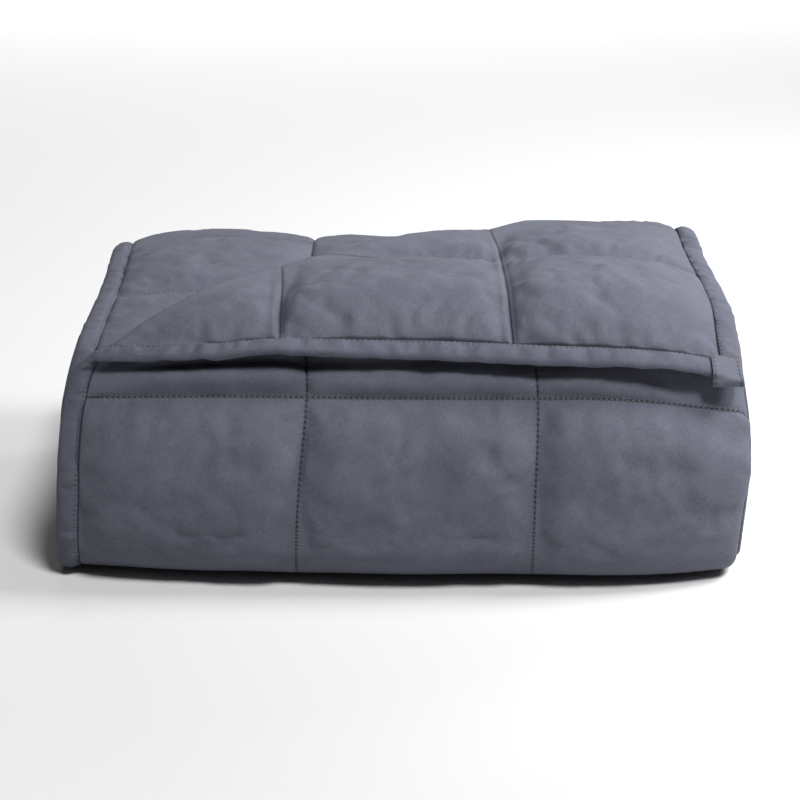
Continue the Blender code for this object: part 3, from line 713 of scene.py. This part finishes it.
def bound_face(u, v, face):
    """A point on the binding: round at its rim, drawn in along its topstitching."""
    inside, along = along_edge(u, v)
    rim = np.sqrt(np.clip(1 - (1 - np.clip(inside / RIM_REACH, 0, 1)) ** 2, 0, 1))
    half = RIM_HALF + (BINDING_HALF - RIM_HALF) * rim
    half = half - DRAWN_IN * hill(inside, BINDING_WIDTH - TOPSTITCH, DRAWN_WIDTH)
    swell = np.sin(math.pi * np.clip(inside / BINDING_WIDTH, 0, 1))
    half = half + BINDING_SWELL * swell ** SWELL_POWER
    pucker = random_hills(BOUND_PUCKER, along, inside + BOUND_SHIFT)
    pucker = pucker * ramp(inside, *BOUND_PUCKER_EASE)
    half = half + pucker + random_hills(BOUND_WAVE, along, inside)
    half = np.where(inside > BINDING_WIDTH - HAIR, np.minimum(half, INNER_EDGE_HALF), half)
    ruffle = random_hills(RUFFLE, along + RUFFLE_SLANT * inside, inside)
    ruffle = ruffle * smooth((BINDING_WIDTH - inside) / RUFFLE_EASE)
    under_tape = ramp(u, HALF_WIDTH - LOOP_SEWN - TAPE_MARGIN, TAPE_EASE)
    under_tape = under_tape * (1 - ramp(v, LOOP_INSET + LOOP_WIDTH, TAPE_EASE))
    half = half + (np.minimum(half, TAPE_BED) - half) * under_tape
    offset = face * half + ruffle * (1 - under_tape) + BINDING_DIP * turned_over(u, v)
    return place_face(u, v, offset)


def grid_sheet(columns, rows):
    """A flat sheet with a line of vertices on each of the given columns and rows."""
    sheet = bmesh.new()
    across, along = len(columns) - 1, len(rows) - 1
    bmesh.ops.create_grid(sheet, x_segments=across, y_segments=along, size=0.5)
    for vert in sheet.verts:
        column = columns[round((vert.co.x + 0.5) * across)]
        vert.co = (column, rows[round((vert.co.y + 0.5) * along)], 0.0)
    return sheet


def fold_up(name, sheet, place, material):
    """Doubles a flat sheet into a slab, folds it, and keeps its flat place as its UV map."""
    made = bmesh.ops.extrude_face_region(sheet, geom=list(sheet.faces))
    above = {item for item in made["geom"] if isinstance(item, bmesh.types.BMVert)}
    flat = np.array([(*vert.co.xy, 1.0 if vert in above else -1.0) for vert in sheet.verts])
    points = place(*flat.T)
    for vert, point in zip(sheet.verts, points):
        vert.co = point
    bmesh.ops.recalc_face_normals(sheet, faces=list(sheet.faces))
    mesh = as_mesh(name, sheet)
    mesh.shade_smooth()
    corners = np.empty(len(mesh.loops), dtype=np.int32)
    mesh.loops.foreach_get("vertex_index", corners)
    layer = mesh.uv_layers.new(name="cloth")
    layer.data.foreach_set("uv", flat[corners, :2].astype(np.float32).ravel())
    return finish_piece(name, mesh, material), flat


def finish_piece(name, mesh, material):
    """Makes a piece of a finished mesh and lets it ride on the part."""
    piece = add_object(name, mesh)
    mesh.materials.append(material)
    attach(piece, "root")
    return piece


def note_seams(piece, distance, along):
    """Writes each point's distance from its seam and its place along it, in millimetres."""
    for name, values in (("seam_distance", distance), ("seam_along", along)):
        layer = piece.data.attributes.new(name, "FLOAT", "POINT")
        layer.data.foreach_set("value", (np.asarray(values) * 1000.0).astype(np.float32))


def linear(code):
    """An sRGB hex colour as linear values."""
    values = [int(code[at:at + 2], 16) / 255.0 for at in (1, 3, 5)]
    straight = [value / 12.92 if value <= 0.04045 else ((value + 0.055) / 1.055) ** 2.4
                for value in values]
    return (*straight, 1.0)


def node(tree, kind, settings=None, links=None, out=0):
    """Adds a node, sets its properties and sockets, links what feeds it, and gives its output."""
    made = tree.nodes.new("ShaderNode" + kind)
    for key, value in (settings or {}).items():
        if isinstance(key, int) or key in made.inputs:
            made.inputs[key].default_value = value
        else:
            setattr(made, key, value)
    for key, source in (links or {}).items():
        tree.links.new(source, made.inputs[key])
    return made.outputs[out]


def new_material(name, sockets):
    """A material with its tree and its shader, whose own sockets are set."""
    material = bpy.data.materials.new(name)
    material.use_nodes = True
    shader = material.node_tree.nodes["Principled BSDF"]
    for socket, value in sockets.items():
        shader.inputs[socket].default_value = value
    return material, material.node_tree, shader


SLUBS = (1400.0, 220.0)  # per metre: a slub is 0.7 mm wide and 4.5 mm long
PATCHES, PATCH_SHARE = 38.0, 0.9  # per metre: brushed patches about 26 mm across
SHADES = (1.05, 1.85)  # slubs and patches together: all dark, all light
PAINTED_SHADE_SPAN = (0.1, 1.15)  # mm from a seam: painted shade in the groove between the stitches, full up to here, and where it ends
PULL_REACH = 3.5  # mm; each stitch draws the cloth in up to here


def woven_cloth(name, light, dark, painted_groove_shade, pucker_depth):
    """Brushed polyester microfibre in plain weave: matt, with a faint grain along both threads.

    The threads are about 0.15 mm, far finer than can show, so the grain is drawn as slubs of
    several threads. Beside a seam the cloth draws in with each stitch, and the groove's shade is
    painted in.
    """
    material, tree, shader = new_material(name, {
        "Roughness": 0.86, "Specular IOR Level": 0.25, "Sheen Weight": 0.06,
        "Sheen Roughness": 0.5, "Sheen Tint": linear("#a4a9c6")})
    place = node(tree, "UVMap", {"uv_map": "cloth"})
    grains = []
    for scale in ((*SLUBS, 1.0), (*reversed(SLUBS), 1.0)):
        stretched = node(tree, "Mapping", {"Scale": scale}, {"Vector": place})
        grain = {"Scale": 1.0, "Detail": 2.0, "Roughness": 0.6}
        grains.append(node(tree, "TexNoise", grain, {"Vector": stretched}))
    slubs = node(tree, "Math", {"operation": "ADD"}, {0: grains[0], 1: grains[1]})
    patches = {"Scale": PATCHES, "Detail": 4.0, "Roughness": 0.6}
    patches = node(tree, "TexNoise", patches, {"Vector": place})
    mixed = {"operation": "MULTIPLY_ADD", 1: PATCH_SHARE}
    mixed = node(tree, "Math", mixed, {0: patches, 2: slubs})
    shade = {"From Min": SHADES[0], "From Max": SHADES[1]}
    shade = node(tree, "MapRange", shade, {"Value": mixed})
    shades = {"data_type": "RGBA", 6: linear(dark), 7: linear(light)}
    colour = node(tree, "Mix", shades, {0: shade}, 2)
    distance = node(tree, "Attribute", {"attribute_name": "seam_distance"}, out="Fac")
    along = node(tree, "Attribute", {"attribute_name": "seam_along"}, out="Fac")
    # Painted shade: the colour darkens towards the bottom of each seam's groove
    groove_painted_shade = {"From Min": PAINTED_SHADE_SPAN[0], "From Max": PAINTED_SHADE_SPAN[1], "To Min": painted_groove_shade}
    groove_painted_shade = node(tree, "MapRange", groove_painted_shade, {"Value": distance})
    darken = {"data_type": "RGBA", "blend_type": "MULTIPLY", 0: 1.0}
    shaded = node(tree, "Mix", darken, {6: colour, 7: groove_painted_shade}, 2)
    tree.links.new(shaded, shader.inputs["Base Color"])
    per_mm = 2 * math.pi / (STITCH_PITCH * 1000.0)
    pulls = node(tree, "Math", {"operation": "MULTIPLY", 1: per_mm}, {0: along})
    wave = node(tree, "Math", {"operation": "COSINE"}, {0: pulls})
    fading = {"From Max": PULL_REACH, "To Min": 1.0, "To Max": 0.0,
              "interpolation_type": "SMOOTHSTEP"}
    fading = node(tree, "MapRange", fading, {"Value": distance})
    pucker = node(tree, "Math", {"operation": "MULTIPLY"}, {0: wave, 1: fading})
    deepened = {"operation": "MULTIPLY_ADD", 1: pucker_depth}
    height = node(tree, "Math", deepened, {0: pucker, 2: slubs})
    bump = node(tree, "Bump", {"Strength": 0.35, "Distance": 0.0003}, {"Height": height})
    tree.links.new(bump, shader.inputs["Normal"])
    return material


def sewing_thread():
    """Core-spun polyester thread: a twisted strand, a little lighter and shinier than the cloth."""
    material, tree, shader = new_material("grey_sewing_thread", {"Roughness": 0.55})
    place = node(tree, "TexCoord", out="Object")
    fuzz = node(tree, "TexNoise", {"Scale": 900.0, "Detail": 2.0}, {"Vector": place})
    greys = {"data_type": "RGBA", 6: linear("#5c5d64"), 7: linear("#83817d")}
    tree.links.new(node(tree, "Mix", greys, {0: fuzz}, 2), shader.inputs["Base Color"])
    bump = node(tree, "Bump", {"Strength": 0.3, "Distance": 0.0001}, {"Height": fuzz})
    tree.links.new(bump, shader.inputs["Normal"])
    return material


# The fourth number is the share of colour left at the bottom of a seam's groove, where shade is
# painted in
CLOTH = woven_cloth("brushed_microfibre", "#5e606c", "#4c4e59", 0.16, 2.0)
# The same cloth cut as a strip: doubled, so drawn in more, and a little darker
BOUND = woven_cloth("binding_strip", "#595b68", "#4a4c57", 0.45, 2.2)
# Plain cotton tape, woven closer: flat, and little drawn in by its stitches
TAPE = woven_cloth("woven_cotton_tape", "#5f616e", "#52545f", 0.55, 1.5)
THREAD = sewing_thread()


def make_quilt():
    """The quilted cloth, in three pieces that meet on seams."""
    edge = BINDING_WIDTH - TUCKED
    side, shown_rows = HALF_WIDTH - edge, (edge, OUTER_END, FINE)
    cuts = (
        ("quilt_outer_ply", (0.0, side, FINE), shown_rows),
        ("quilt_ply_below", (-side, 0.0, FINE), shown_rows),
        ("quilt_inner_plies", (-side, side, COARSE), (OUTER_END, LENGTH - edge, COARSE)),
    )
    pieces = []
    for name, columns, rows in cuts:
        sheet = grid_sheet(columns_between(*columns), rows_between(*rows))
        piece, flat = fold_up(name, sheet, quilt_face, CLOTH)
        u, v = flat[:, 0], flat[:, 1]
        distance, along = seam_distance(u, v)
        # The binding's edge counts as a seam here, so painted shade darkens the crease along it
        note_seams(piece, np.minimum(distance, np.abs(to_binding(u, v))), along)
        pieces.append(piece)
    return pieces


def make_binding():
    """The binding all round the edge."""
    side = even(0.0, BINDING_WIDTH, BINDING_CELL)
    far_side = (BINDING_WIDTH, *reversed(side))
    columns = [-HALF_WIDTH + value for value in side]
    columns += even(-HALF_WIDTH + BINDING_WIDTH, HALF_WIDTH - BINDING_WIDTH, BINDING_STEP)
    columns += [HALF_WIDTH - value for value in far_side]
    rows = side + rows_between(BINDING_WIDTH, LENGTH - BINDING_WIDTH, BINDING_STEP)[:-1]
    rows += [LENGTH - value for value in far_side]
    sheet = grid_sheet(columns, rows)
    middle = []
    for face in sheet.faces:
        u, v = face.calc_center_median().xy
        if abs(u) < HALF_WIDTH - BINDING_WIDTH and BINDING_WIDTH < v < LENGTH - BINDING_WIDTH:
            middle.append(face)
    bmesh.ops.delete(sheet, geom=middle, context="FACES")
    piece, flat = fold_up("edge_binding_strip", sheet, bound_face, BOUND)
    inside, along = along_edge(flat[:, 0], flat[:, 1])
    # Painted shade darkens the strip along its topstitching
    note_seams(piece, np.abs(inside - BINDING_WIDTH + TOPSTITCH), along)
    return piece


def make_loop():
    """The tape loop at the corner that is turned over."""
    length = 2 * (LOOP_SEWN + LOOP_REACH - LOOP_EYE) + math.pi * LOOP_EYE
    side = LOOP_INSET + LOOP_WIDTH
    sheet = grid_sheet([*even(0.0, length, TAPE_CELL), length],
                       [*even(LOOP_INSET, side, TAPE_CELL), side])
    piece, flat = fold_up("corner_loop_tape", sheet, loop_face, TAPE)
    from_side = np.minimum(flat[:, 1] - LOOP_INSET, side - flat[:, 1])
    # Painted shade darkens the tape along its two rows of stitches
    note_seams(piece, np.abs(from_side - TAPE_SEAM), flat[:, 0])
    return piece


def one_stitch():
    """A single stitch, one unit long, wide and high: a rounded grain."""
    grain = bmesh.new()
    bmesh.ops.create_uvsphere(grain, u_segments=6, v_segments=4, radius=0.5)
    bmesh.ops.rotate(grain, verts=grain.verts, matrix=Matrix.Rotation(0.5 * math.pi, 3, "Y"))
    return as_mesh("stitch", grain)


def stitch_row(grain, start, end, face, sink, place):
    """The points of a row of stitches along a straight line of the flat cloth."""
    start, end = np.array(start), np.array(end)
    reach = np.linalg.norm(end - start)
    count = int(reach / STITCH_PITCH)
    direction = (end - start) / reach
    middles = start + direction * STITCH_PITCH * (np.arange(count)[:, None] + 0.5)
    half = direction * 0.5 * STITCH_LENGTH
    side = np.array([-direction[1], direction[0]]) * STITCH_SIDE

    def on_cloth(points):
        return place(*points.T, np.full(count, float(face)))

    forward = unit(on_cloth(middles + half) - on_cloth(middles - half))
    up = unit(np.cross(forward, on_cloth(middles + side) - on_cloth(middles - side)) * face)
    axes = np.stack([forward, np.cross(up, forward), up], axis=1)
    centre = on_cloth(middles) + up * (STITCH_HEIGHT * 0.5 - sink)
    size = (STITCH_LENGTH, STITCH_WIDTH, STITCH_HEIGHT)
    shape = np.array([vert.co for vert in grain.vertices]) * size
    return centre[:, None, :] + np.einsum("gi,cij->cgj", shape, axes)


def make_stitching(name, place, lines):
    """Rows of stitches: each has a start, an end, a face of the cloth and a sink."""
    grain = one_stitch()
    points = np.concatenate([stitch_row(grain, *line, place) for line in lines])
    sheet = bmesh.new()
    for _ in range(len(points)):
        sheet.from_mesh(grain)
    for vert, point in zip(sheet.verts, points.reshape(-1, 3)):
        vert.co = point
    mesh = as_mesh(name, sheet)
    bpy.data.meshes.remove(grain)
    mesh.shade_smooth()
    return finish_piece(name, mesh, THREAD)


def upper_tape(s, t, face):
    """The corner loop, with its upper face as face B."""
    return loop_face(s, t, -face)


def make_stitches():
    """All the stitches that show: on the quilt's seams, along the binding and on the loop."""
    start, edge = BINDING_WIDTH, HALF_WIDTH - BINDING_WIDTH
    quilted = []
    for u in COLUMN_SEAMS:
        diagonal = TURN_START - (HALF_WIDTH - u)
        quilted.append(((u, max(diagonal, 0.0) + CLEAR), (u, SEAMS_DOWN), 1, DEEP_SINK))
        if diagonal > SHORTEST_SEAM:
            quilted.append(((u, start), (u, diagonal - CLEAR_TURNED), -1, DEEP_SINK))
            quilted.append(((-u, start), (-u, diagonal - CLEAR), -1, DEEP_SINK))
    quilted.append(((0.0, start), (0.0, LENGTH - start), 1, DEEP_SINK))
    for v in ROW_SEAMS[:SHOWN_ROWS]:
        diagonal = HALF_WIDTH - (TURN_START - v)
        quilted.append(((0.0, v), (min(diagonal, edge) - CLEAR_ROW, v), 1, STITCH_SINK))
        if v < TURN_START:
            quilted.append(((diagonal + CLEAR_TURNED, v), (edge, v), -1, DEEP_SINK))
            quilted.append(((-edge, v), (-diagonal - CLEAR_ROW, v), -1, DEEP_SINK))
    inset = BINDING_WIDTH - TOPSTITCH
    edge, turn = HALF_WIDTH - inset, HALF_WIDTH - TURN_START
    outside, turned, below = CLEAR_EDGE
    bound = (((edge, TURN_START + outside), (edge, SEAMS_DOWN), 1),
             ((edge, inset), (edge, TURN_START - turned), -1),
             ((turn, inset), (edge, inset), -1),
             ((-edge, inset), (-edge, TURN_START - below), -1),
             ((-edge, inset), (-turn, inset), -1))
    low, high = LOOP_INSET, LOOP_INSET + LOOP_WIDTH
    run = LOOP_SEWN + LOOP_REACH - LOOP_EYE
    tacks = [((row, low + TACK_INSET), (row, high - TACK_INSET), -1) for row in BAR_TACK]
    tacks += [((BAR_TACK[-1] + TACK_GAP, across), (run, across), -1)
              for across in (low + TAPE_SEAM, high - TAPE_SEAM)]
    bound, tacks = ([(*row, STITCH_SINK) for row in rows] for rows in (bound, tacks))
    return (make_stitching("quilting_stitches", quilt_face, quilted),
            make_stitching("binding_stitches", bound_face, bound),
            make_stitching("loop_stitches", upper_tape, tacks))


FLOOR_COLOUR = "#d2d2d2"
AMBIENT = 0.07
KEY_LIGHT = (30.0, 56.0, 14.0, 3.05)  # degrees to the right, up and wide; strength
LAMPS = (
    # name, place, size and power; the backdrop's shines straight down
    ("side_light", (0.8, -0.14, 0.9), 0.4, 12.2),
    ("backdrop_light", (0.0, 4.0, 1.8), 2.5, 85.0),
    ("rear_light", (0.95, 0.8, 0.7), 0.5, 6.5),
)
CAMERA_AIM = (0.0, 0.1, 0.1035)
CAMERA_DISTANCE, CAMERA_PITCH = 1.69, 17.5
SENSOR = 36.0
CAMERA_FOCAL = 2530.0 / 800.0 * SENSOR


def make_studio():
    """A pale matt floor, a broad high light from the front and right, lamps, and true colours."""
    sheet = bmesh.new()
    bmesh.ops.create_grid(sheet, x_segments=1, y_segments=1, size=8.0)
    mesh = as_mesh("studio_floor", sheet)
    # Matt studio paint: pale, without gloss
    matt = {"Base Color": linear(FLOOR_COLOUR), "Roughness": 0.95}
    mesh.materials.append(new_material("pale_floor_paint", matt)[0])
    floor = add_object("studio_floor", mesh)
    world = bpy.data.worlds.new("studio")
    world.use_nodes = True
    background = world.node_tree.nodes["Background"]
    background.inputs["Color"].default_value = (1.0, 1.0, 1.0, 1.0)
    background.inputs["Strength"].default_value = AMBIENT
    scene.world = world
    scene.view_settings.view_transform = "Standard"
    azimuth, elevation, width = (math.radians(angle) for angle in KEY_LIGHT[:3])
    lamp = bpy.data.lights.new("key_light", "SUN")
    lamp.angle, lamp.energy = width, KEY_LIGHT[3]
    add_object("key_light", lamp, turn=(0.5 * math.pi - elevation, 0.0, azimuth))
    for name, place, size, power in LAMPS:
        lamp = bpy.data.lights.new(name, "AREA")
        lamp.size, lamp.energy = size, power
        light = add_object(name, lamp, place)
        if name != "backdrop_light":
            towards = Vector(CAMERA_AIM) - light.location
            light.rotation_euler = towards.to_track_quat("-Z", "Y").to_euler()


def make_camera():
    """A long lens, a little above the stack and in front of it."""
    lens = bpy.data.cameras.new("camera")
    lens.sensor_width = SENSOR
    lens.lens = CAMERA_FOCAL
    pitch = math.radians(CAMERA_PITCH)
    aim = Vector(CAMERA_AIM) + Vector(FRAME_SHIFT)
    place = aim + CAMERA_DISTANCE * Vector((0.0, -math.cos(pitch), math.sin(pitch)))
    scene.camera = add_object("camera", lens, place, (0.5 * math.pi - pitch, 0.0, 0.0))


outer, below, inner = make_quilt()
binding = make_binding()
loop = make_loop()
stitches = make_stitches()
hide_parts("quilt")
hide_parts("edge_binding")
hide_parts("corner_loop")
make_camera()
make_studio()
